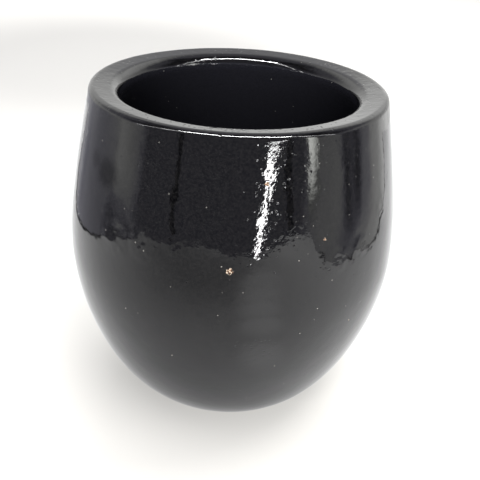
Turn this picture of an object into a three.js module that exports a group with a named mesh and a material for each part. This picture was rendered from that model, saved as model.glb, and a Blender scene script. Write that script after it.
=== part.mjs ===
// A glazed clay pot: an egg-shaped body on a foot ring, with a thick rolled rim.
// Millimetres, +Z up. The origin is the centre of the foot, on the surface that the pot stands on.
//
// The pot is built the way a potter builds it: a slab on a foot ring, a wall in two halves that meet
// at the belly, a coil for the rim, and two coats of glaze. Every piece is a body of revolution, so
// each one is a closed section turned about the axis.
//
// One outline runs all the way round the clay: up the outside, over the rim, down the inside and
// across the floor to the drain hole. It is the finished surface, over the glaze. Each piece takes
// a stretch of it, sunk to its own depth.

import * as THREE from 'three';

// ---------- driving dimensions ----------

const POT_HEIGHT = 257.3;
const BELLY_RADIUS = 130; // the widest place
const BELLY_HEIGHT = 132.7;

const FOOT_RADIUS = 73.6; // where the outside meets the surface it stands on
const FOOT_INNER_RADIUS = 62;
const FOOT_HEIGHT = 6;
const FOOT_EDGE = 1; // bevel on the foot's inner edge

// The rim is a fat lip: a round outer edge, a top that slopes into the pot, a tighter inner edge.
const RIM_RADIUS = 109.1; // the lip's widest place
const RIM_OUTER_ROUND = 4.6;
const RIM_INNER_ROUND = 9.5;
const RIM_DROP = 1.5; // the inner edge is this much lower than the outer
const MOUTH_RADIUS = 86;
const RIM_START_ANGLE = 13; // degrees above level, where the outside runs into the outer edge
const RIM_TOP_ANGLE = 90;
const RIM_END_ANGLE = 200; // where the inner edge runs into the inside

const INNER_BELLY_RADIUS = 120.5;
const FLOOR_HEIGHT = 15;
const FLOOR_RADIUS = 60; // the flat part of the floor
const SLAB_RADIUS = 70; // the seam between the slab and the wall that stands round it
const DRAIN_RADIUS = 10;
const DRAIN_BEVEL = 1.5;

// Pulls: how far each end of a curve heads straight along its own direction before it turns.
const FOOT_FLARE = { out: 30.4, up: 15.3 };
const BELLY_PULL_DOWN = 51.5;
const BELLY_PULL_UP = 31;
const SHOULDER_PULL = 40;
const INNER_NECK_PULL = 18;
const INNER_BELLY_PULL_UP = 52;
const INNER_BELLY_PULL_DOWN = 49;
const FLOOR_PULL = 28;

const GLAZE = 1; // thickness of a coat
const SEAM = 0.3; // gap left between neighbours
const CLAY_DEPTH = GLAZE + SEAM; // from the finished surface down to the clay

const GLAZE_LINE_HEIGHT = 2.4; // the outer coat stops here, just clear of the ground
const RIM_JOINT_HEIGHT = 236; // the wall ends here and the rim's coil begins
const COAT_JOINT_HEIGHT = 249; // the outer coat and the liner meet here, on the lip's inner edge

const TURN_STEPS = 48; // facets round the axis
const STEPS = { // facets along each curve
  lowerOutside: 11,
  upperOutside: 5,
  rimOutside: 4,
  rimTop: 1,
  rimSlope: 1,
  rimInside: 4,
  upperInside: 5,
  lowerInside: 9,
};

const CLAY_COLOUR = 0x9a6b4f;
const GLAZE_COLOUR = 0x0c0c0e;

// ---------- the outline ----------

/** A point in the half plane of the section: distance from the axis, and height. */
function at(radius, height) {
  return new THREE.Vector2(radius, height);
}

/** The lip's two rounded edges, each a circle in the section. */
const outerEdge = {
  centre: at(RIM_RADIUS - RIM_OUTER_ROUND, POT_HEIGHT - RIM_OUTER_ROUND),
  radius: RIM_OUTER_ROUND,
};
const innerEdge = {
  centre: at(MOUTH_RADIUS + RIM_INNER_ROUND, POT_HEIGHT - RIM_DROP - RIM_INNER_ROUND),
  radius: RIM_INNER_ROUND,
};

/** The angle, in degrees, at which one straight line touches the tops of both circles. */
function slopeAngle() {
  const across = innerEdge.centre.clone().sub(outerEdge.centre);
  const lean = Math.acos((outerEdge.radius - innerEdge.radius) / across.length());
  return THREE.MathUtils.radToDeg(across.angle() - lean);
}

function edgePoint(edge, degrees) {
  const angle = THREE.MathUtils.degToRad(degrees);
  return at(Math.cos(angle), Math.sin(angle)).multiplyScalar(edge.radius).add(edge.centre);
}

/** A point reached from an edge by going straight along its tangent, forwards or backwards. */
function offEdge(edge, degrees, distance) {
  const angle = THREE.MathUtils.degToRad(degrees);
  const tangent = at(-Math.sin(angle), Math.cos(angle));
  return edgePoint(edge, degrees).add(tangent.multiplyScalar(distance));
}

function edgeArc(edge, fromDegrees, toDegrees) {
  const from = THREE.MathUtils.degToRad(fromDegrees);
  const to = THREE.MathUtils.degToRad(toDegrees);
  const { centre, radius } = edge;
  return new THREE.EllipseCurve(centre.x, centre.y, radius, radius, from, to, false);
}

const lowerOutside = new THREE.CubicBezierCurve(
  at(FOOT_RADIUS, 0),
  at(FOOT_RADIUS + FOOT_FLARE.out, FOOT_FLARE.up),
  at(BELLY_RADIUS, BELLY_HEIGHT - BELLY_PULL_DOWN),
  at(BELLY_RADIUS, BELLY_HEIGHT),
);
const upperOutside = new THREE.CubicBezierCurve(
  at(BELLY_RADIUS, BELLY_HEIGHT),
  at(BELLY_RADIUS, BELLY_HEIGHT + BELLY_PULL_UP),
  offEdge(outerEdge, RIM_START_ANGLE, -SHOULDER_PULL),
  edgePoint(outerEdge, RIM_START_ANGLE),
);
const rimOutside = edgeArc(outerEdge, RIM_START_ANGLE, RIM_TOP_ANGLE);
const rimTop = edgeArc(outerEdge, RIM_TOP_ANGLE, slopeAngle());
const rimSlope = new THREE.LineCurve(
  edgePoint(outerEdge, slopeAngle()),
  edgePoint(innerEdge, slopeAngle()),
);
const rimInside = edgeArc(innerEdge, slopeAngle(), RIM_END_ANGLE);
const upperInside = new THREE.CubicBezierCurve(
  edgePoint(innerEdge, RIM_END_ANGLE),
  offEdge(innerEdge, RIM_END_ANGLE, INNER_NECK_PULL),
  at(INNER_BELLY_RADIUS, BELLY_HEIGHT + INNER_BELLY_PULL_UP),
  at(INNER_BELLY_RADIUS, BELLY_HEIGHT),
);
const lowerInside = new THREE.CubicBezierCurve(
  at(INNER_BELLY_RADIUS, BELLY_HEIGHT),
  at(INNER_BELLY_RADIUS, BELLY_HEIGHT - INNER_BELLY_PULL_DOWN),
  at(FLOOR_RADIUS + FLOOR_PULL, FLOOR_HEIGHT),
  at(FLOOR_RADIUS, FLOOR_HEIGHT),
);

/** Evenly spaced points along a curve, sunk to a depth under the finished surface. */
function sunk(curve, steps, depth) {
  const points = [];
  for (let step = 0; step <= steps; step += 1) {
    const point = curve.getPointAt(step / steps);
    const along = curve.getTangentAt(step / steps);
    points.push(at(point.x - along.y * depth, point.y + along.x * depth));
  }
  return points;
}

/** The outside at a depth, from the foot up to the top of the rim. */
function outside(depth) {
  return [
    ...sunk(lowerOutside, STEPS.lowerOutside, depth),
    ...sunk(upperOutside, STEPS.upperOutside, depth).slice(1),
    ...sunk(rimOutside, STEPS.rimOutside, depth).slice(1),
  ];
}

/** The inside at a depth, from the top of the rim down and across the floor to the drain hole. */
function inside(depth) {
  return [
    ...sunk(rimTop, STEPS.rimTop, depth),
    ...sunk(rimSlope, STEPS.rimSlope, depth).slice(1),
    ...sunk(rimInside, STEPS.rimInside, depth).slice(1),
    ...sunk(upperInside, STEPS.upperInside, depth).slice(1),
    ...sunk(lowerInside, STEPS.lowerInside, depth).slice(1),
    at(DRAIN_RADIUS + DRAIN_BEVEL, FLOOR_HEIGHT - depth),
  ];
}

/** The stretch of a line between two heights ('y') or two radii ('x'), cut exactly at each. */
function cut(points, coordinate, from, to) {
  const low = Math.min(from, to);
  const high = Math.max(from, to);
  const kept = [];
  points.forEach((point, index) => {
    if (index > 0) {
      const last = points[index - 1];
      const crossings = [from, to].filter(
        (level) => (last[coordinate] - level) * (point[coordinate] - level) < 0);
      for (const level of crossings) {
        const share = (level - last[coordinate]) / (point[coordinate] - last[coordinate]);
        kept.push(last.clone().lerp(point, share));
      }
    }
    if (point[coordinate] >= low && point[coordinate] <= high) kept.push(point);
  });
  return kept;
}

// ---------- the pieces ----------

const pot = new THREE.Group();

const clay = { color: CLAY_COLOUR, roughness: 0.9, metalness: 0 };
const glaze = { color: GLAZE_COLOUR, roughness: 0.06, metalness: 0 };

/** Turns a closed section about the axis. The section runs anticlockwise. */
function turn(name, finish, section) {
  const geometry = new THREE.LatheGeometry([...section, section[0]], TURN_STEPS);
  geometry.rotateX(Math.PI / 2);
  const mesh = new THREE.Mesh(geometry, new THREE.MeshStandardMaterial(finish));
  mesh.name = name;
  pot.add(mesh);
}

function footRing() {
  return [
    at(FOOT_INNER_RADIUS + FOOT_EDGE, 0),
    ...cut(outside(0), 'y', 0, GLAZE_LINE_HEIGHT),
    ...cut(outside(CLAY_DEPTH), 'y', GLAZE_LINE_HEIGHT, FOOT_HEIGHT),
    at(FOOT_INNER_RADIUS, FOOT_HEIGHT),
    at(FOOT_INNER_RADIUS, FOOT_EDGE),
  ];
}

function baseSlab() {
  const bottom = FOOT_HEIGHT + SEAM;
  const edge = SLAB_RADIUS - SEAM / 2;
  return [
    at(DRAIN_RADIUS, bottom),
    at(edge, bottom),
    ...cut(inside(CLAY_DEPTH), 'x', edge, DRAIN_RADIUS),
    at(DRAIN_RADIUS, FLOOR_HEIGHT - CLAY_DEPTH - DRAIN_BEVEL),
  ];
}

function lowerWall() {
  const bottom = FOOT_HEIGHT + SEAM;
  const top = BELLY_HEIGHT - SEAM / 2;
  const edge = SLAB_RADIUS + SEAM / 2;
  const innerFace = cut(inside(CLAY_DEPTH), 'y', top, 0);
  return [
    at(edge, bottom),
    ...cut(outside(CLAY_DEPTH), 'y', bottom, top),
    ...cut(innerFace, 'x', BELLY_RADIUS, edge),
  ];
}

function upperWall() {
  const bottom = BELLY_HEIGHT + SEAM / 2;
  const top = RIM_JOINT_HEIGHT - SEAM / 2;
  return [
    ...cut(outside(CLAY_DEPTH), 'y', bottom, top),
    ...cut(inside(CLAY_DEPTH), 'y', top, bottom),
  ];
}

function rimCoil() {
  const bottom = RIM_JOINT_HEIGHT + SEAM / 2;
  return [
    ...cut(outside(CLAY_DEPTH), 'y', bottom, POT_HEIGHT),
    ...cut(inside(CLAY_DEPTH), 'y', POT_HEIGHT, bottom).slice(1),
  ];
}

/** A coat of glaze: its face, and its back at the coat's thickness under the face. */
function coat(pointsAtDepth) {
  return [...pointsAtDepth(0), ...pointsAtDepth(GLAZE).reverse()];
}

function outerGlaze() {
  return coat((depth) => [
    ...cut(outside(depth), 'y', GLAZE_LINE_HEIGHT + SEAM, POT_HEIGHT),
    ...cut(inside(depth), 'y', POT_HEIGHT, COAT_JOINT_HEIGHT).slice(1),
  ]);
}

function linerGlaze() {
  return coat((depth) => cut(inside(depth), 'y', COAT_JOINT_HEIGHT - SEAM, 0));
}

turn('foot_ring', clay, footRing());
turn('base_slab', clay, baseSlab());
turn('lower_wall', clay, lowerWall());
turn('upper_wall', clay, upperWall());
turn('rim_coil', clay, rimCoil());
turn('outer_glaze', glaze, outerGlaze());
turn('liner_glaze', glaze, linerGlaze());

export default pot;
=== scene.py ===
"""A black glazed clay pot on a white sheet in a small light tent. Metres, +Z up."""

import math

import bpy
import numpy as np
from mathutils import Matrix, Vector, geometry


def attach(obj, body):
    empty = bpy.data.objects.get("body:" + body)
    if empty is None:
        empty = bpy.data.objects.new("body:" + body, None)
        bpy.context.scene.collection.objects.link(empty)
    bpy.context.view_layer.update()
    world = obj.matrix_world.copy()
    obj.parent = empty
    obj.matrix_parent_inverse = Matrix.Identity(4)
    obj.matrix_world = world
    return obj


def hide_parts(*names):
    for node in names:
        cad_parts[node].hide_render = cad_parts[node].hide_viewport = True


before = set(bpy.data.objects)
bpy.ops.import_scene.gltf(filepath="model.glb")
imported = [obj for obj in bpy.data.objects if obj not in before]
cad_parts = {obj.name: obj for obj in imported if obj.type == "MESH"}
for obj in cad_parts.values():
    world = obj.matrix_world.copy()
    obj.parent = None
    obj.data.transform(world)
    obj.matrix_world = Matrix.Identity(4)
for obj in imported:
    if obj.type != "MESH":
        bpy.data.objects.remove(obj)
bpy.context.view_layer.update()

MM = 0.001

# ---------- the pot's outline, as the CAD draws it ----------

POT_HEIGHT = 257.3 * MM
BELLY_RADIUS = 130 * MM
BELLY_HEIGHT = 132.7 * MM
FOOT_RADIUS = 73.6 * MM
FOOT_INNER_RADIUS = 62 * MM
FOOT_HEIGHT = 6 * MM
FOOT_EDGE = 1 * MM
RIM_RADIUS = 109.1 * MM
RIM_OUTER_ROUND = 4.6 * MM
RIM_INNER_ROUND = 9.5 * MM
RIM_DROP = 1.5 * MM
MOUTH_RADIUS = 86 * MM
RIM_START_ANGLE = math.radians(13)
RIM_END_ANGLE = math.radians(200)
INNER_BELLY_RADIUS = 120.5 * MM
FLOOR_HEIGHT = 15 * MM
FLOOR_RADIUS = 60 * MM
SLAB_RADIUS = 70 * MM
DRAIN_RADIUS = 10 * MM
DRAIN_BEVEL = 1.5 * MM

FOOT_FLARE = (30.4 * MM, 15.3 * MM)
BELLY_PULL_DOWN = 51.5 * MM
BELLY_PULL_UP = 31 * MM
SHOULDER_PULL = 40 * MM
INNER_NECK_PULL = 18 * MM
INNER_BELLY_PULL_UP = 52 * MM
INNER_BELLY_PULL_DOWN = 49 * MM
FLOOR_PULL = 28 * MM

GLAZE = 1 * MM
SEAM = 0.3 * MM
CLAY_DEPTH = GLAZE + SEAM
COAT_GAP = 0.02 * MM  # between the two coats, which look like one
GLAZE_LINE_HEIGHT = 2.4 * MM
RIM_JOINT_HEIGHT = 236 * MM
COAT_JOINT_HEIGHT = 249 * MM
RIM_START_HEIGHT = 247 * MM  # the finer mesh of the rim starts here on the outside
NECK_HEIGHT = 240 * MM  # and ends here on the inside

DENSE_STEP = 0.05 * MM  # spacing of the points that the outline is drawn with
SAME_POINT = 1e-9  # closer than this, two points are one


def bezier(a, b, c, d):
    """Dense points along a cubic curve."""
    a, b, c, d = (np.array(p, float) for p in (a, b, c, d))
    count = max(2, int(np.linalg.norm(d - a) / DENSE_STEP))
    t = np.linspace(0, 1, count)[:, None]
    u = 1 - t
    return a * u**3 + 3 * b * u * u * t + 3 * c * u * t * t + d * t**3


def arc(centre, radius, start, end):
    """Dense points along an arc between two angles."""
    count = max(2, int(radius * abs(end - start) / DENSE_STEP))
    angles = np.linspace(start, end, count)
    return np.array(centre) + radius * np.column_stack([np.cos(angles), np.sin(angles)])


def outline():
    """The finished surface: up the outside, over the rim, down the inside, across to the drain."""
    outer_centre = np.array([RIM_RADIUS - RIM_OUTER_ROUND, POT_HEIGHT - RIM_OUTER_ROUND])
    inner_centre = np.array([MOUTH_RADIUS + RIM_INNER_ROUND, POT_HEIGHT - RIM_DROP - RIM_INNER_ROUND])
    across = inner_centre - outer_centre
    lean = math.acos((RIM_OUTER_ROUND - RIM_INNER_ROUND) / np.linalg.norm(across))
    slope = math.atan2(across[1], across[0]) % (2 * math.pi) - lean
    outer_edge = arc(outer_centre, RIM_OUTER_ROUND, RIM_START_ANGLE, slope)
    inner_edge = arc(inner_centre, RIM_INNER_ROUND, slope, RIM_END_ANGLE)
    shoulder = np.array([-math.sin(RIM_START_ANGLE), math.cos(RIM_START_ANGLE)])
    neck = np.array([-math.sin(RIM_END_ANGLE), math.cos(RIM_END_ANGLE)])
    belly = (BELLY_RADIUS, BELLY_HEIGHT)
    inner_belly = (INNER_BELLY_RADIUS, BELLY_HEIGHT)
    flare = (FOOT_RADIUS + FOOT_FLARE[0], FOOT_FLARE[1])
    stretches = [
        bezier((FOOT_RADIUS, 0), flare, (BELLY_RADIUS, BELLY_HEIGHT - BELLY_PULL_DOWN), belly),
        bezier(
            belly,
            (BELLY_RADIUS, BELLY_HEIGHT + BELLY_PULL_UP),
            outer_edge[0] - SHOULDER_PULL * shoulder,
            outer_edge[0],
        ),
        outer_edge,
        bezier(outer_edge[-1], outer_edge[-1], inner_edge[0], inner_edge[0]),
        inner_edge,
        bezier(
            inner_edge[-1],
            inner_edge[-1] + INNER_NECK_PULL * neck,
            (INNER_BELLY_RADIUS, BELLY_HEIGHT + INNER_BELLY_PULL_UP),
            inner_belly,
        ),
        bezier(
            inner_belly,
            (INNER_BELLY_RADIUS, BELLY_HEIGHT - INNER_BELLY_PULL_DOWN),
            (FLOOR_RADIUS + FLOOR_PULL, FLOOR_HEIGHT),
            (FLOOR_RADIUS, FLOOR_HEIGHT),
        ),
        bezier(
            (FLOOR_RADIUS, FLOOR_HEIGHT),
            (FLOOR_RADIUS, FLOOR_HEIGHT),
            (DRAIN_RADIUS + DRAIN_BEVEL, FLOOR_HEIGHT),
            (DRAIN_RADIUS + DRAIN_BEVEL, FLOOR_HEIGHT),
        ),
    ]
    points = np.vstack([stretches[0]] + [s[1:] for s in stretches[1:]])
    apart = np.linalg.norm(np.diff(points, axis=0), axis=1)
    points = np.vstack([points[:1], points[1:][apart > SAME_POINT]])
    return points


LINE = outline()
ALONG = np.concatenate([[0], np.cumsum(np.linalg.norm(np.diff(LINE, axis=0), axis=1))])
TANGENT = np.gradient(LINE, ALONG, axis=0)
TANGENT /= np.linalg.norm(TANGENT, axis=1)[:, None]
INWARD = np.column_stack([-TANGENT[:, 1], TANGENT[:, 0]])
TOP = int(LINE[:, 1].argmax())


def outer_at(height, depth=0.0):
    """Distance along the outline at which the outside, sunk to a depth, has this height."""
    sunk = LINE + depth * INWARD
    return float(np.interp(height, sunk[:TOP, 1], ALONG[:TOP]))


def inner_at(height, depth=0.0):
    """The same for the inside."""
    sunk = LINE + depth * INWARD
    return float(np.interp(-height, -sunk[TOP:, 1], ALONG[TOP:]))


def floor_at(radius, depth=0.0):
    """Distance along the outline at which the floor's side of the inside has this radius."""
    sunk = LINE + depth * INWARD
    low = LINE[:, 1] < BELLY_HEIGHT
    low[:TOP] = False
    return float(np.interp(-radius, -sunk[low, 0], ALONG[low]))


def stretch(start, end, spacing, depth=0.0):
    """Even points of the outline between two distances along it, sunk to a depth."""
    count = max(2, round(abs(end - start) / spacing) + 1)
    where = np.linspace(start, end, count)
    points = []
    for axis in (0, 1):
        points.append(np.interp(where, ALONG, LINE[:, axis] + depth * INWARD[:, axis]))
    return np.column_stack(points), where


# ---------- the hand-made surface ----------

WAVES = 120
WAVE_LONG = 140 * MM
WAVE_SHORT = 12 * MM
WAVE_SLOPE = 0.0012  # how far one wave tips the surface, in radians
WAVE_FLOOR = 0.3 * MM  # the face is pressed in by this on average, so that no wave stands proud


def make_waves():
    """Gentle unevenness that a hand leaves: waves of many lengths, heading all ways through space."""
    chance = np.random.default_rng(7)
    waves = []
    for _ in range(WAVES):
        length = WAVE_SHORT * (WAVE_LONG / WAVE_SHORT) ** chance.random()
        heading = chance.normal(size=3)
        heading *= 2 * math.pi / length / np.linalg.norm(heading)
        height = WAVE_SLOPE * length / (2 * math.pi)
        waves.append((heading, chance.random() * 2 * math.pi, height))
    return waves


HAND_WAVES = make_waves()


def unevenness(points):
    """How far the face is pressed in at each point."""
    pressed = np.full(points.shape[:-1], WAVE_FLOOR)
    for heading, phase, height in HAND_WAVES:
        pressed += height * np.cos(points @ heading + phase)
    return np.clip(pressed, 0, 2 * WAVE_FLOOR)


# ---------- meshes ----------

GROUND_EASE = 12 * MM  # the unevenness fades out towards the foot
FINE = 1.8 * MM  # the facets of the glaze's face up the wall, and all over the rim
RIM_FINE = 0.8 * MM
FINE_AROUND = 400
COARSE = 8 * MM  # those of its hidden side
RIM_BACK = 2.4 * MM  # the glaze's hidden side over the lip, fine enough to stay clear of the clay
CLAY_AROUND = 160
CLAY_STEP = 4 * MM
SHARP = math.radians(40)  # faces that meet at more than this keep a sharp edge


def turned(name, section, around, along=None, ease=0.0):
    """A closed section, anticlockwise, turned about the axis.
    along gives the places on the outline of its first points, the hand-made face, which is
    pressed in, fading out to nothing within the ease of the first."""
    section = np.array(section)
    angles = np.linspace(0, 2 * math.pi, around, endpoint=False)
    spokes = np.column_stack([np.cos(angles), np.sin(angles)])
    points = np.zeros((around, len(section), 3))
    points[:, :, :2] = spokes[:, None, :] * section[None, :, :1]
    points[:, :, 2] = section[:, 1]
    if along is not None:
        face = points[:, : len(along)]
        pressed = unevenness(face)
        if ease:
            pressed *= np.clip((along - along[0]) / ease, 0, 1)
        inward = np.column_stack([np.interp(along, ALONG, INWARD[:, axis]) for axis in (0, 1)])
        face[:, :, :2] += (pressed * inward[:, 0])[:, :, None] * spokes[:, None, :]
        face[:, :, 2] += pressed * inward[:, 1]
    rows = len(section)
    here = np.arange(around)[:, None] * rows + np.arange(rows)[None, :]
    beside = np.roll(here, -1, axis=0)
    quads = np.stack([here, beside, np.roll(beside, -1, axis=1), np.roll(here, -1, axis=1)], axis=2)
    mesh = bpy.data.meshes.new(name)
    mesh.from_pydata(points.reshape(-1, 3).tolist(), [], quads.reshape(-1, 4).tolist())
    mesh.shade_smooth()
    mesh.set_sharp_from_angle(angle=SHARP)
    piece = bpy.data.objects.new(name, mesh)
    bpy.context.scene.collection.objects.link(piece)
    return piece


def loop(*runs):
    """One section from runs of points."""
    return np.vstack([np.atleast_2d(run) for run in runs])


def outer_glaze():
    start = outer_at(GLAZE_LINE_HEIGHT + SEAM)
    shoulder = outer_at(RIM_START_HEIGHT)
    end = inner_at(COAT_JOINT_HEIGHT) - COAT_GAP / 2
    body, body_along = stretch(start, shoulder, FINE)
    rim, rim_along = stretch(shoulder, end, RIM_FINE)
    rim_back, _ = stretch(end, shoulder, RIM_BACK, GLAZE)
    body_back, _ = stretch(shoulder, start, COARSE, GLAZE)
    along = np.concatenate([body_along, rim_along[1:]])
    section = loop(body, rim[1:], rim_back, body_back[1:])
    return turned("outer_glaze_skin", section, FINE_AROUND, along, GROUND_EASE)


def liner_glaze():
    start = inner_at(COAT_JOINT_HEIGHT) + COAT_GAP / 2
    neck = inner_at(NECK_HEIGHT)
    end = floor_at(DRAIN_RADIUS + DRAIN_BEVEL)
    edge, edge_along = stretch(start, neck, RIM_FINE)
    body, body_along = stretch(neck, end, 2 * FINE)
    body_back, _ = stretch(end, neck, COARSE, GLAZE)
    edge_back, _ = stretch(neck, start, RIM_BACK, GLAZE)
    along = np.concatenate([edge_along, body_along[1:]])
    section = loop(edge, body[1:], body_back, edge_back[1:])
    return turned("liner_glaze_skin", section, FINE_AROUND, along)


def foot_ring():
    step = FOOT_EDGE / 2
    low, _ = stretch(outer_at(0), outer_at(GLAZE_LINE_HEIGHT), step)
    line = outer_at(GLAZE_LINE_HEIGHT, CLAY_DEPTH)
    high, _ = stretch(line, outer_at(FOOT_HEIGHT, CLAY_DEPTH), step, CLAY_DEPTH)
    start = (FOOT_INNER_RADIUS + FOOT_EDGE, 0)
    top = (FOOT_INNER_RADIUS, FOOT_HEIGHT)
    inside = (FOOT_INNER_RADIUS, FOOT_EDGE)
    return turned("foot_ring_clay", loop(start, low, high, top, inside), CLAY_AROUND)


def base_slab():
    bottom = FOOT_HEIGHT + SEAM
    edge = SLAB_RADIUS - SEAM / 2
    drain_top = FLOOR_HEIGHT - CLAY_DEPTH
    drain = floor_at(DRAIN_RADIUS + DRAIN_BEVEL, CLAY_DEPTH)
    top, _ = stretch(floor_at(edge, CLAY_DEPTH), drain, CLAY_STEP, CLAY_DEPTH)
    section = loop((DRAIN_RADIUS, bottom), (edge, bottom), top, (DRAIN_RADIUS, drain_top - DRAIN_BEVEL))
    return turned("base_slab_clay", section, CLAY_AROUND)


def lower_wall():
    bottom = FOOT_HEIGHT + SEAM
    top = BELLY_HEIGHT - SEAM / 2
    edge = SLAB_RADIUS + SEAM / 2
    outside, _ = stretch(outer_at(bottom, CLAY_DEPTH), outer_at(top, CLAY_DEPTH), CLAY_STEP, CLAY_DEPTH)
    inside, _ = stretch(inner_at(top, CLAY_DEPTH), floor_at(edge, CLAY_DEPTH), CLAY_STEP, CLAY_DEPTH)
    return turned("lower_wall_clay", loop((edge, bottom), outside, inside), CLAY_AROUND)


def upper_wall():
    bottom = BELLY_HEIGHT + SEAM / 2
    top = RIM_JOINT_HEIGHT - SEAM / 2
    outside, _ = stretch(outer_at(bottom, CLAY_DEPTH), outer_at(top, CLAY_DEPTH), CLAY_STEP, CLAY_DEPTH)
    inside, _ = stretch(inner_at(top, CLAY_DEPTH), inner_at(bottom, CLAY_DEPTH), CLAY_STEP, CLAY_DEPTH)
    return turned("upper_wall_clay", loop(outside, inside), CLAY_AROUND)


def rim_coil():
    bottom = RIM_JOINT_HEIGHT + SEAM / 2
    start = outer_at(bottom, CLAY_DEPTH)
    end = inner_at(bottom, CLAY_DEPTH)
    section, _ = stretch(start, end, RIM_FINE, CLAY_DEPTH)
    return turned("rim_coil_clay", section, CLAY_AROUND)


# ---------- materials ----------


class Nodes:
    """Adds nodes to one tree. An input takes another node's socket or a plain value."""

    def __init__(self, tree):
        self.tree = tree
        tree.nodes.clear()

    def add(self, kind, inputs=None, **settings):
        node = self.tree.nodes.new(kind)
        for key, value in settings.items():
            setattr(node, key, value)
        for key, value in (inputs or {}).items():
            self.feed(node.inputs[key], value)
        return node

    def feed(self, socket, value):
        if isinstance(value, bpy.types.NodeSocket):
            self.tree.links.new(value, socket)
        else:
            socket.default_value = value

    def math(self, operation, a, b=0.0):
        return self.add("ShaderNodeMath", {0: a, 1: b}, operation=operation).outputs[0]

    def step(self, value, low, high, to_low=0.0, to_high=1.0):
        """Smoothly from to_low to to_high as the value goes from low to high."""
        inputs = {0: value, 1: low, 2: high, 3: to_low, 4: to_high}
        return self.add("ShaderNodeMapRange", inputs, interpolation_type="SMOOTHSTEP").outputs[0]

    def mix(self, share, a, b):
        return self.add("ShaderNodeMix", {0: share, 6: a, 7: b}, data_type="RGBA").outputs[2]

    def noise(self, place, size, detail=2.0):
        inputs = {"Vector": place, "Scale": 1 / size, "Detail": detail}
        return self.add("ShaderNodeTexNoise", inputs).outputs["Fac"]

    def cells(self, place, size):
        """Distance to the nearest cell's middle, as a share of the cells' size, and the cell's number."""
        node = self.add("ShaderNodeTexVoronoi", {"Vector": place, "Scale": 1 / size})
        number = self.add("ShaderNodeSeparateColor", {0: node.outputs["Color"]}).outputs[0]
        return node.outputs["Distance"], number

    def pits(self, place, size, width, share):
        """Round pits, 1 in the middle and 0 outside, in some of the cells."""
        distance, number = self.cells(place, size)
        hole = self.step(distance, width, 0.0)
        return self.math("MULTIPLY", hole, self.math("LESS_THAN", number, share))

    def near(self, place, centre, inner, outer):
        """1 within the inner distance of a point, and 0 beyond the outer."""
        between = self.add("ShaderNodeVectorMath", {0: place, 1: centre}, operation="DISTANCE")
        return self.step(between.outputs["Value"], outer, inner)

    def place(self):
        return self.add("ShaderNodeTexCoord").outputs["Object"]

    def highest(self, values):
        top = values[0]
        for value in values[1:]:
            top = self.math("MAXIMUM", top, value)
        return top

    def bump(self, height):
        return self.add("ShaderNodeBump", {"Height": height, "Distance": 1.0, "Strength": 1.0}).outputs[0]

    def surface(self, shader):
        self.add("ShaderNodeOutputMaterial", {"Surface": shader.outputs[0]})


def new_material(name):
    material = bpy.data.materials.new(name)
    material.use_nodes = True
    return material, Nodes(material.node_tree)


def on_pot(degrees, height):
    """The point of the outside at an angle round from the front, positive to the right, and a height."""
    radius = float(np.interp(outer_at(height), ALONG, LINE[:, 0]))
    angle = math.radians(degrees)
    return Vector((radius * math.sin(angle), -radius * math.cos(angle), height))


# Places where the glaze is pitted and uneven: angle from the front, height, size, and how uneven.
ROUGH_PATCHES = (
    (12, 246 * MM, 18 * MM, 0.7),
    (10, 230 * MM, 22 * MM, 0.9),
    (9, 212 * MM, 22 * MM, 0.7),
    (8, 192 * MM, 20 * MM, 0.8),
    (13, 200 * MM, 9 * MM, 1.0),
    (19, 198 * MM, 14 * MM, 0.7),
    (26, 240 * MM, 16 * MM, 0.5),
    (26, 222 * MM, 16 * MM, 0.5),
    (31, 168 * MM, 11 * MM, 1.0),
    (140, 200 * MM, 26 * MM, 1.0),
    (200, 150 * MM, 30 * MM, 1.0),
)

# Places where the glaze ran and set in small swells.
WAVY_PATCHES = (
    (-38, 177 * MM, 17 * MM, 1.0),
    (-27, 182 * MM, 18 * MM, 1.0),
    (-16, 186 * MM, 14 * MM, 0.8),
    (34, 172 * MM, 13 * MM, 1.0),
    (44, 176 * MM, 12 * MM, 0.7),
    (58, 195 * MM, 14 * MM, 0.6),
    (255, 215 * MM, 24 * MM, 1.0),
)

# Smudges, where the glaze is thin and shines less.
SMUDGES = (
    (-45, 217 * MM, 15 * MM, 0.75),
    (-52, 222 * MM, 9 * MM, 0.5),
    (160, 120 * MM, 18 * MM, 0.6),
)

PATCH_CORE = 0.3  # share of a patch's size over which it is at its full strength

# Flaws that show the clay: angle from the front, height and size.
FLECKS = (
    (0, 174 * MM, 5.2 * MM),
    (10, 229 * MM, 3.0 * MM),
    (29, 190 * MM, 2.2 * MM),
    (42, 118 * MM, 1.2 * MM),
    (-48, 96 * MM, 1.5 * MM),
    (128, 160 * MM, 2.2 * MM),
    (214, 205 * MM, 2.6 * MM),
    (282, 120 * MM, 1.8 * MM),
)


def patches(nodes, place, table):
    """How strongly any patch of a table is felt at each place, from 0 to 1."""
    parts = []
    for degrees, high, size, strength in table:
        patch = nodes.near(place, on_pot(degrees, high), PATCH_CORE * size, size)
        parts.append(nodes.math("MULTIPLY", patch, strength))
    return nodes.highest(parts)


# How high or deep the glaze's unevenness is, where it is calm and where it is strongest.
PEEL = (0.04 * MM, 0.18 * MM)
RIPPLE = (0.07 * MM, 0.48 * MM)
PINHOLE_DEPTH = 0.12 * MM
CRATER_DEPTH = 0.25 * MM

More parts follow.
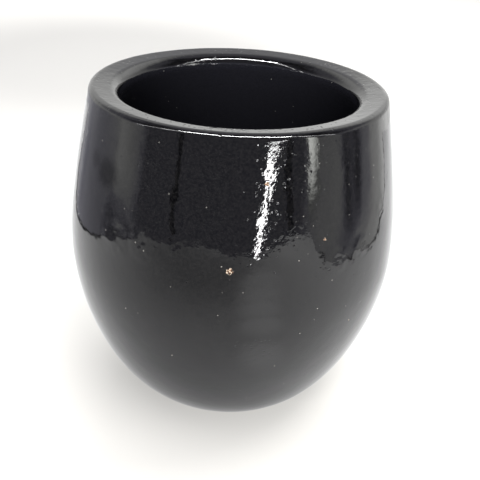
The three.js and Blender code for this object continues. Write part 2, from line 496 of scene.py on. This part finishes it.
GLAZE_SHINE = 0.5
SMUDGE_LOSS = 0.4  # how much of the shine a full smudge takes
GLAZE_COLOURS = ((0.0010, 0.0010, 0.0014, 1), (0.0053, 0.0051, 0.0053, 1))
LINER_COLOURS = ((0.0080, 0.0080, 0.0104, 1), (0.0108, 0.0108, 0.0138, 1))
LINER_DULLNESS = 0.4  # the liner, below the neck, is rougher and shines less by this
PALE_SPECK_COLOUR = (0.30, 0.29, 0.26, 1)
FLECK_COLOUR = (0.17, 0.075, 0.03, 1)
GRIT_COLOUR = (0.62, 0.56, 0.45, 1)
CHIP_COLOUR = (0.02, 0.012, 0.008, 1)


def black_glaze(name, colours, dullness=0.0):
    """Glossy black, mottled between two colours, with the flaws of the tables above."""
    material, nodes = new_material(name)
    place = nodes.place()
    mottle = nodes.step(nodes.noise(place, 1.5 * MM, 3), 0.3, 0.7)

    drift = nodes.step(nodes.noise(place, 70 * MM, 2), 0.56, 0.72, 0, 0.6)
    height_up = nodes.add("ShaderNodeSeparateXYZ", {0: place}).outputs[2]
    lip = nodes.step(height_up, RIM_START_HEIGHT, POT_HEIGHT, 0, 0.45)
    rough = nodes.highest([patches(nodes, place, ROUGH_PATCHES), drift, lip])
    wavy = nodes.math("MAXIMUM", patches(nodes, place, WAVY_PATCHES), nodes.math("MULTIPLY", lip, 0.5))

    peel = nodes.noise(place, 4.4 * MM, 3)
    pinholes = nodes.pits(place, 5.5 * MM, 0.13, 0.35)
    craters = nodes.pits(place, 3.2 * MM, 0.34, 0.45)
    ripple = nodes.noise(place, 8 * MM, 1)
    peel_height = nodes.math("MULTIPLY", peel, nodes.step(rough, 0, 1, *PEEL))
    ripple_height = nodes.math("MULTIPLY", ripple, nodes.step(wavy, 0, 1, *RIPPLE))
    pinhole_depth = nodes.math("MULTIPLY", pinholes, PINHOLE_DEPTH)
    crater_depth = nodes.math("MULTIPLY", nodes.math("MULTIPLY", craters, rough), CRATER_DEPTH)
    height = nodes.math("ADD", peel_height, ripple_height)
    height = nodes.math("SUBTRACT", height, nodes.math("ADD", pinhole_depth, crater_depth))
    normal = nodes.bump(height)

    pale_specks = nodes.pits(place, 8 * MM, 0.08, 0.5)
    ragged = nodes.noise(place, 1.6 * MM, 2)
    shapes = []
    for degrees, high, size in FLECKS:
        close = nodes.near(place, on_pot(degrees, high), 0.0, size)
        shapes.append(nodes.step(nodes.math("MULTIPLY", close, ragged), 0.24, 0.34))
    bare = nodes.highest(shapes)
    grit = nodes.step(nodes.noise(place, 0.8 * MM, 1), 0.5, 0.62)
    chips = nodes.step(nodes.noise(place, 1.2 * MM, 1), 0.52, 0.6)
    clay_colour = nodes.mix(grit, FLECK_COLOUR, GRIT_COLOUR)
    clay_colour = nodes.mix(chips, clay_colour, CHIP_COLOUR)
    black = nodes.mix(mottle, *colours)
    speckled = nodes.mix(pale_specks, black, PALE_SPECK_COLOUR)
    colour = nodes.mix(bare, speckled, clay_colour)
    gloss = nodes.step(nodes.noise(place, 25 * MM, 3), 0.35, 0.7, 0.035, 0.075)
    roughness = nodes.math("ADD", gloss, nodes.math("MULTIPLY", bare, 0.5))
    roughness = nodes.math("ADD", roughness, nodes.math("MULTIPLY", wavy, 0.06))
    smudge = patches(nodes, place, SMUDGES)
    dull = nodes.step(height_up, NECK_HEIGHT, COAT_JOINT_HEIGHT, dullness, 0)
    roughness = nodes.math("ADD", roughness, dull)
    shine = nodes.math("SUBTRACT", GLAZE_SHINE, nodes.math("MULTIPLY", smudge, SMUDGE_LOSS))
    shine = nodes.math("SUBTRACT", shine, dull)
    shader = nodes.add(
        "ShaderNodeBsdfPrincipled",
        {
            "Base Color": colour,
            "Roughness": roughness,
            "IOR": 1.5,
            "Specular IOR Level": shine,
            "Normal": normal,
        },
    )
    nodes.surface(shader)
    return material


CLAY_DARK = (0.23, 0.095, 0.045, 1)
CLAY_LIGHT = (0.42, 0.21, 0.115, 1)
CLAY_GRIT = (0.5, 0.4, 0.3, 1)
FOOT_OUTSIDE_DARK = (0.02, 0.016, 0.014, 1)
FOOT_OUTSIDE_FADE = 1.2 * MM


def bare_clay():
    """Gritty red-brown fired clay, darker and glossier on the outside of the foot."""
    material, nodes = new_material("bare_clay")
    place = nodes.place()
    cloud = nodes.noise(place, 18 * MM, 4)
    grain = nodes.noise(place, 1.1 * MM, 3)
    grit = nodes.pits(place, 2.6 * MM, 0.25, 0.3)
    body = nodes.mix(cloud, CLAY_DARK, CLAY_LIGHT)
    body = nodes.mix(nodes.math("MULTIPLY", grit, 0.8), body, CLAY_GRIT)
    grain_height = nodes.math("MULTIPLY", grain, 0.12 * MM)
    grit_height = nodes.math("MULTIPLY", grit, 0.08 * MM)
    normal = nodes.bump(nodes.math("ADD", grain_height, grit_height))
    parts = nodes.add("ShaderNodeSeparateXYZ", {0: place})
    across = nodes.add("ShaderNodeCombineXYZ", {0: parts.outputs[0], 1: parts.outputs[1]})
    radius = nodes.add("ShaderNodeVectorMath", {0: across.outputs[0]}, operation="LENGTH")
    outside = nodes.step(radius.outputs["Value"], FOOT_RADIUS - FOOT_OUTSIDE_FADE, FOOT_RADIUS)
    colour = nodes.mix(outside, body, FOOT_OUTSIDE_DARK)
    roughness = nodes.step(outside, 0, 1, 0.85, 0.45)
    inputs = {"Base Color": colour, "Roughness": roughness, "Normal": normal}
    nodes.surface(nodes.add("ShaderNodeBsdfPrincipled", inputs))
    return material


PAPER_WHITE = (0.87, 0.855, 0.81, 1)
# The paper's colour where the painted shade is full.
PAPER_IN_SHADE_GREY = (0.60, 0.592, 0.568, 1)
# Soft patches of painted shade on the floor's paper, where shadow falls beside the pot and far to the left
# behind it: place, inner and outer size, and strength.
PAPER_SHADE = (
    (-0.33, 1.05, 0.25, 0.80, 1.0),
    (-0.05, 0.06, 0.09, 0.18, 0.75),
    (0.05, 0.02, 0.05, 0.09, 0.6),
)


def floor_paper():
    """White paper, greyer in a few soft patches of painted shade."""
    material, nodes = new_material("white_paper")
    place = nodes.place()
    shades = []
    for x, y, inner, outer, strength in PAPER_SHADE:
        shade = nodes.near(place, (x, y, 0), inner, outer)
        shades.append(nodes.math("MULTIPLY", shade, strength))
    # The shade is painted into the paper's colour.
    colour = nodes.mix(nodes.highest(shades), PAPER_WHITE, PAPER_IN_SHADE_GREY)
    nodes.surface(nodes.add("ShaderNodeBsdfDiffuse", {"Color": colour}))
    return material


SHEET_WHITE = (0.87, 0.87, 0.86, 1)
# The sheet's colour in the painted shadow of whoever looks at the pot.
SHEET_SHADOW_GREY = (0.24, 0.24, 0.24, 1)
# The sheet's colour where the painted glare is full.
SHEET_GLARE = (0.98, 0.98, 0.97, 1)
# Where that painted shadow lies, and where it fades out.
SHADE_CENTRE = (-0.25, -0.85, 0)
SHADE_INNER = 0.2
SHADE_OUTER = 0.98
# The window's glare, painted on the sheet as a pool of light: a row of soft spots that grow and fade away
# from the pot.
GLARE_NEAR = Vector((0.065, -0.19, 0))
GLARE_FAR = Vector((0.20, -0.60, 0))
GLARE_SPOTS = 5
GLARE_SIZES = (0.06, 0.20)
GLARE_STRENGTHS = (0.9, 0.4)
GLARE_CORE = 0.2  # share of a spot's size over which it is at its full strength


def part_way(ends, share):
    """The value at a share of the way between two."""
    return ends[0] + (ends[1] - ends[0]) * share


def sheet_paper():
    """White paper with a painted shadow, dimmer where whoever looks at the pot stands in the light, and
    with the window's glare painted on.
    """
    material, nodes = new_material("shaded_paper")
    place = nodes.place()
    shade = nodes.near(place, SHADE_CENTRE, SHADE_INNER, SHADE_OUTER)
    spots = []
    for number in range(GLARE_SPOTS):
        share = number / (GLARE_SPOTS - 1)
        size = part_way(GLARE_SIZES, share)
        spot = nodes.near(place, GLARE_NEAR.lerp(GLARE_FAR, share), GLARE_CORE * size, size)
        spots.append(nodes.math("MULTIPLY", spot, part_way(GLARE_STRENGTHS, share)))
    # The shadow is painted into the sheet's colour.
    colour = nodes.mix(shade, SHEET_WHITE, SHEET_SHADOW_GREY)
    # The glare is painted into the sheet's colour.
    colour = nodes.mix(nodes.highest(spots), colour, SHEET_GLARE)
    nodes.surface(nodes.add("ShaderNodeBsdfDiffuse", {"Color": colour}))
    return material


# The lit cloth at the right: its box, where it fades out, and how bright it is.
CLOTH_LEFT = 0.70
CLOTH_RIGHT = 1.15
CLOTH_Y = -0.68
CLOTH_FOOT = 0.04
CLOTH_TOP = 0.60
CLOTH_LEFT_FADE = (0.73, 0.79)
CLOTH_RIGHT_FADE = (1.12, 0.78)
CLOTH_FOOT_FADE = (0.05, 0.32)
CLOTH_BRIGHTNESS = 10
CLOTH_SOLID = 0.8  # as bright as this, and the cloth hides what is behind it
CLOTH_COLOUR = (0.98, 1, 0.95, 1)


def glow_sheet():
    """A cloth lit from behind: bright along its left side, fading to the right and towards the floor."""
    material, nodes = new_material("glow_sheet")
    parts = nodes.add("ShaderNodeSeparateXYZ", {0: nodes.place()})
    left = nodes.step(parts.outputs[0], *CLOTH_LEFT_FADE)
    right = nodes.step(parts.outputs[0], *CLOTH_RIGHT_FADE)
    low = nodes.step(parts.outputs[2], *CLOTH_FOOT_FADE)
    strength = nodes.math("MULTIPLY", low, CLOTH_BRIGHTNESS)
    strength = nodes.math("MULTIPLY", nodes.math("MULTIPLY", left, right), strength)
    glow = nodes.add("ShaderNodeEmission", {"Color": CLOTH_COLOUR, "Strength": strength})
    clear = nodes.add("ShaderNodeBsdfTransparent")
    share = nodes.step(strength, 0, CLOTH_SOLID)
    nodes.surface(nodes.add("ShaderNodeMixShader", {0: share, 1: clear.outputs[0], 2: glow.outputs[0]}))
    return material


def black_card():
    material, nodes = new_material("black_card")
    nodes.surface(nodes.add("ShaderNodeBsdfDiffuse", {"Color": (0.01, 0.01, 0.01, 1)}))
    return material


# ---------- the pot ----------


def build_pot():
    glaze = black_glaze("black_glaze", GLAZE_COLOURS)
    liner = black_glaze("black_liner", LINER_COLOURS, LINER_DULLNESS)
    clay = bare_clay()
    pieces = (
        (foot_ring(), "foot_ring", "clay", clay),
        (base_slab(), "base_slab", "clay", clay),
        (lower_wall(), "lower_wall", "clay", clay),
        (upper_wall(), "upper_wall", "clay", clay),
        (rim_coil(), "rim_coil", "clay", clay),
        (outer_glaze(), "outer_glaze", "glaze", glaze),
        (liner_glaze(), "liner_glaze", "glaze", liner),
    )
    for piece, node, slot, material in pieces:
        piece.data.materials.append(material)
        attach(piece, "root")
        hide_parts(node)


# ---------- the studio ----------

# The sheet under the pot, seen from above: narrowest beside the pot, and wider behind and in front.
BACK_LEFT = Vector((-0.75, 0.80))
WAIST_LEFT = Vector((-0.39, 0.27))
HIP_LEFT = Vector((-0.76, -0.45))
FRONT_LEFT = Vector((-0.24, -1.25))
FRONT_MIDDLE = Vector((0.20, -0.92))
FRONT_RIGHT = Vector((0.85, -1.00))
CORNER_RIGHT = Vector((0.85, -0.72))
HIP_RIGHT = Vector((0.62, -0.44))
WAIST_RIGHT = Vector((0.53, 0.10))
BACK_RIGHT = Vector((1.15, 0.76))
BEND_POINTS = 10
SHEET_LIFT = 0.3 * MM
EDGE_SHADOW_WIDTH = 18 * MM  # width of the black strips along the sheet's two sides, a painted shadow at its edges
FLOOR_REACH = 6  # how far the floor goes to each side

TENT_FRONT = -0.495
TENT_TOP = 1.2575
POST_FOOT = 0.125
POST_TOP = 0.6
POST_TAPER = 0.8  # a post's width at the top, as a share of its width at the foot
POSTS = (("left", -0.367, 0.042), ("right", 0.314, 0.048))  # name, left edge and width

REFLECTED_ONLY = {"camera": False, "diffuse": False, "transmission": False, "shadow": False}


def rectangle(name, corners, material, **sight):
    """A flat card for the stage. sight says which rays see it."""
    mesh = bpy.data.meshes.new(name)
    mesh.from_pydata([tuple(c) for c in corners], [], [tuple(range(len(corners)))])
    mesh.materials.append(material)
    card = bpy.data.objects.new(name, mesh)
    bpy.context.scene.collection.objects.link(card)
    for rays, seen in sight.items():
        setattr(card, "visible_" + rays, seen)


def bend(start, leaving, arriving, end):
    """Points along a curve that leaves the start and reaches the end along the two given moves."""
    return geometry.interpolate_bezier(start, start + leaving, end - arriving, end, BEND_POINTS)


def sheet_edge():
    """The sheet's left side, front and right side, from the far left corner round by the front."""
    left = bend(BACK_LEFT, Vector((0.15, -0.18)), Vector((0, -0.12)), WAIST_LEFT)
    left += bend(WAIST_LEFT, Vector((0, -0.12)), Vector((0, -0.20)), HIP_LEFT)[1:]
    front = bend(HIP_LEFT, Vector((0, -0.35)), Vector((0.20, 0)), FRONT_LEFT)[1:]
    front += bend(FRONT_LEFT, Vector((0.22, 0)), Vector((0.15, 0)), FRONT_MIDDLE)[1:]
    front += [FRONT_RIGHT, CORNER_RIGHT]
    right = bend(HIP_RIGHT, Vector((-0.06, 0.12)), Vector((0, 0.15)), WAIST_RIGHT)
    right += bend(WAIST_RIGHT, Vector((0, 0.22)), Vector((0.35, 0.25)), BACK_RIGHT)[1:]
    return left, front, right


def build_ground():
    """A wide floor, and the cut sheet that the glaze mirrors, with black strips along its sides as a
    painted shadow at its edges.
    """
    reach = FLOOR_REACH
    floor = [(-reach, -reach, 0), (reach, -reach, 0), (reach, reach, 0), (-reach, reach, 0)]
    rectangle("floor", floor, floor_paper(), glossy=False)
    left, front, right = sheet_edge()
    corners = [(x, y, SHEET_LIFT) for x, y in left + front + right]
    rectangle("sheet", corners, sheet_paper(), **REFLECTED_ONLY)
    black = black_card()
    # Black strips that paint the shadow along the sheet's edges, seen only in the glaze.
    for side, edge, width in (("left", left, -EDGE_SHADOW_WIDTH), ("right", right, EDGE_SHADOW_WIDTH)):
        run = [(x, y, 2 * SHEET_LIFT) for x, y in edge]
        beyond = [(x + width, y, 2 * SHEET_LIFT) for x, y in reversed(edge)]
        rectangle("edge_shadow_" + side, run + beyond, black, **REFLECTED_ONLY)
    for side, where, width in POSTS:
        corners = [
            (where, TENT_FRONT, POST_FOOT),
            (where + width, TENT_FRONT, POST_FOOT),
            (where + width * POST_TAPER, TENT_FRONT, POST_TOP),
            (where, TENT_FRONT, POST_TOP),
        ]
        rectangle("post_" + side, corners, black, **REFLECTED_ONLY)


def build_cloth():
    """The lit cloth at the right, which is seen only in the glaze."""
    corners = [
        (CLOTH_LEFT, CLOTH_Y, CLOTH_FOOT),
        (CLOTH_RIGHT, CLOTH_Y, CLOTH_FOOT),
        (CLOTH_RIGHT, CLOTH_Y, CLOTH_TOP),
        (CLOTH_LEFT, CLOTH_Y, CLOTH_TOP),
    ]
    rectangle("pale_right", corners, glow_sheet(), **REFLECTED_ONLY)


STRIP_TARGET = Vector((0, 0, 0.2))
PANEL_TARGET = Vector((0, 0, 0.1))
RIM_CENTRE = Vector((0, 0, 0.25))

TUBE_REACH = 0.62  # half the tube's length
TUBE_WIDTH = 0.045
TUBE_RADIANCE = 190

# Each side opening of the tent runs down from its corner by two strips. Each end is given by its
# azimuth, elevation and distance from the rim, and each strip by its width and radiance.
OPENING_CORNER = (134, 54, 1.1)
OPENING_MIDDLE = (123, 32, 1.0)
OPENING_LOW = (110, 6, 1.0)
OPENING_HIGH_STRIP = (0.05, 18)
OPENING_LOW_STRIP = (0.04, 9)

# The window, whose light leans to the right and more so at the top: name, ends, width and radiance.
WINDOW = (
    ("window", (0.25, -0.968, -0.02), (0.385, -0.91, 0.285), 0.044, 40),
    ("window_top", (0.38, -0.91, 0.27), (0.62, -0.88, 0.42), 0.022, 36),
)

# Soft lamps for the paper: name, centre, width, height, radiance and what they face.
PANELS = (
    ("front_fill", (-0.15, -2.2, 1.0), 1.4, 1.0, 20.5, PANEL_TARGET),
    ("overhead", (-0.1, -0.2, 2.0), 1.6, 1.6, 1.7, PANEL_TARGET),
    ("right_fill", (0.85, 0.3, 1.4), 0.8, 0.6, 5, PANEL_TARGET),
    ("back_fill", (0.1, 2.0, 2.2), 2.0, 2.0, 3.0, (0.1, 2.0, 0)),
)


def area_lamp(name, width, height, radiance):
    """A plain rectangular lamp, unplaced. radiance 1 looks paper white."""
    lamp = bpy.data.lights.new(name, "AREA")
    lamp.shape = "RECTANGLE"
    lamp.size = width
    lamp.size_y = height
    lamp.energy = radiance * math.pi * width * height
    holder = bpy.data.objects.new(name, lamp)
    holder.visible_camera = False
    bpy.context.scene.collection.objects.link(holder)
    return holder


def strip(name, start, end, width, radiance):
    """A long thin lamp between two points, turned towards the pot, that is only mirrored in the glaze."""
    start, end = Vector(start), Vector(end)
    along = (end - start).normalized()
    middle = (start + end) / 2
    away = middle - STRIP_TARGET
    away = (away - away.dot(along) * along).normalized()
    side = away.cross(along)
    turn = Matrix((along, side, away)).transposed()
    holder = area_lamp(name, (end - start).length, width, radiance)
    holder.matrix_world = Matrix.Translation(middle) @ turn.to_4x4()
    holder.visible_diffuse = False


def panel(name, centre, width, height, radiance, target):
    """A soft lamp that lights the paper and isn't mirrored in the glaze."""
    away = Vector(centre) - Vector(target)
    turn = away.to_track_quat("Z", "Y").to_matrix()
    holder = area_lamp(name, width, height, radiance)
    holder.matrix_world = Matrix.Translation(centre) @ turn.to_4x4()
    holder.visible_glossy = False


def toward(azimuth, elevation):
    """A direction: azimuth 0 is behind the pot, positive to the right, and elevation is up. Degrees."""
    az = math.radians(azimuth)
    el = math.radians(elevation)
    return Vector((math.sin(az) * math.cos(el), math.cos(az) * math.cos(el), math.sin(el)))


def build_lamps():
    """A tube along the tent's front top edge, the openings at its sides, a window, and soft fills."""
    tube_start = Vector((-TUBE_REACH, TENT_FRONT, TENT_TOP))
    tube_end = Vector((TUBE_REACH, TENT_FRONT, TENT_TOP))
    strip("tube", tube_start, tube_end, TUBE_WIDTH, TUBE_RADIANCE)
    for name, side in (("left", -1), ("right", 1)):
        ends = []
        for azimuth, elevation, distance in (OPENING_CORNER, OPENING_MIDDLE, OPENING_LOW):
            ends.append(RIM_CENTRE + distance * toward(side * azimuth, elevation))
        corner, middle, low = ends
        strip("opening_high_" + name, corner, middle, *OPENING_HIGH_STRIP)
        strip("opening_low_" + name, middle, low, *OPENING_LOW_STRIP)
    for lamp in WINDOW:
        strip(*lamp)
    for lamp in PANELS:
        panel(*lamp)


# Soft areas of the tent's walls: azimuth, elevation, full inside, fades out by, and brightness.
TENT_GLOWS = (
    (0, 90, 28, 46, -0.55),
    (-2, 34, 5, 18, -0.3),
    (38, 36, 8, 26, 0.75),
    (-38, 36, 8, 22, 0.3),
    (-78, 38, 12, 34, -0.6),
    (86, 38, 12, 32, -0.65),
    (-70, -19, 8, 27, -0.6),
    (-98, -20, 5, 14, -0.5),
    (-102, -2, 4, 15, 0.6),
    (80, -7, 4, 12, -0.45),
    (92, -7, 4, 12, -0.55),
    (-40, -14, 5, 18, -0.4),
    (116, -5, 7, 19, 0.7),
    (12, 13, 5, 15, 0.35),
    (48, -14, 4, 14, 0.5),
)
ROOM = 0.27  # brightness of the room in front, and of the tent round the rest
TENT = 1.15
TENT_EDGE = (-0.42, 0.2)  # how far back a direction points where the room fades into the tent
DARKEST = 0.05
ROOM_COLOUR = (0.96, 0.95, 1.12, 1)
TENT_COLOUR = (1, 1, 0.985, 1)


def build_world():
    """White to the camera. To everything else, a tent of white cloth whose front is open to a dim room."""
    world = bpy.data.worlds.new("tent")
    bpy.context.scene.world = world
    world.use_nodes = True
    nodes = Nodes(world.node_tree)
    heading = nodes.add("ShaderNodeTexCoord").outputs["Generated"]
    parts = nodes.add("ShaderNodeSeparateXYZ", {0: heading})
    light = nodes.step(parts.outputs[1], *TENT_EDGE, ROOM, TENT)
    for azimuth, elevation, inside, outside, brightness in TENT_GLOWS:
        centre = toward(azimuth, elevation)
        facing = nodes.add("ShaderNodeVectorMath", {0: heading, 1: centre}, operation="DOT_PRODUCT")
        low = math.cos(math.radians(outside))
        high = math.cos(math.radians(inside))
        glow = nodes.step(facing.outputs["Value"], low, high, 0, brightness)
        light = nodes.math("ADD", light, glow)
    light = nodes.math("MAXIMUM", light, DARKEST)
    colour = nodes.mix(nodes.step(light, ROOM, TENT), ROOM_COLOUR, TENT_COLOUR)
    tent = nodes.add("ShaderNodeBackground", {"Color": colour, "Strength": light})
    plain = nodes.add("ShaderNodeBackground", {"Color": (1, 1, 1, 1), "Strength": 1.0})
    camera = nodes.add("ShaderNodeLightPath").outputs["Is Camera Ray"]
    both = nodes.add("ShaderNodeMixShader", {0: camera, 1: tent.outputs[0], 2: plain.outputs[0]})
    nodes.add("ShaderNodeOutputWorld", {"Surface": both.outputs[0]})


CAMERA_TARGET = Vector((0, 0, 0.1235))
CAMERA_DISTANCE = 0.50727
CAMERA_PITCH = math.radians(30.523)
CAMERA_ROLL = math.radians(2.871)
SENSOR_WIDTH = 36  # millimetres, as the lens
LENS = 45
SHIFT_X = 0.0180
SHIFT_Y = -0.0024


def build_camera():
    """The camera that matches the photo: in front of the pot, looking down at it."""
    data = bpy.data.cameras.new("camera")
    data.sensor_width = SENSOR_WIDTH
    data.lens = LENS
    data.shift_x = SHIFT_X
    data.shift_y = SHIFT_Y
    data.clip_start = 0.01
    camera = bpy.data.objects.new("camera", data)
    bpy.context.scene.collection.objects.link(camera)
    back = Vector((0, -math.cos(CAMERA_PITCH), math.sin(CAMERA_PITCH)))
    aim = Matrix.Rotation(math.pi / 2 - CAMERA_PITCH, 4, "X") @ Matrix.Rotation(CAMERA_ROLL, 4, "Z")
    camera.matrix_world = Matrix.Translation(CAMERA_TARGET + CAMERA_DISTANCE * back) @ aim
    bpy.context.scene.camera = camera


build_camera()
build_pot()
build_ground()
build_cloth()
build_lamps()
build_world()
bpy.context.scene.view_settings.view_transform = "Standard"
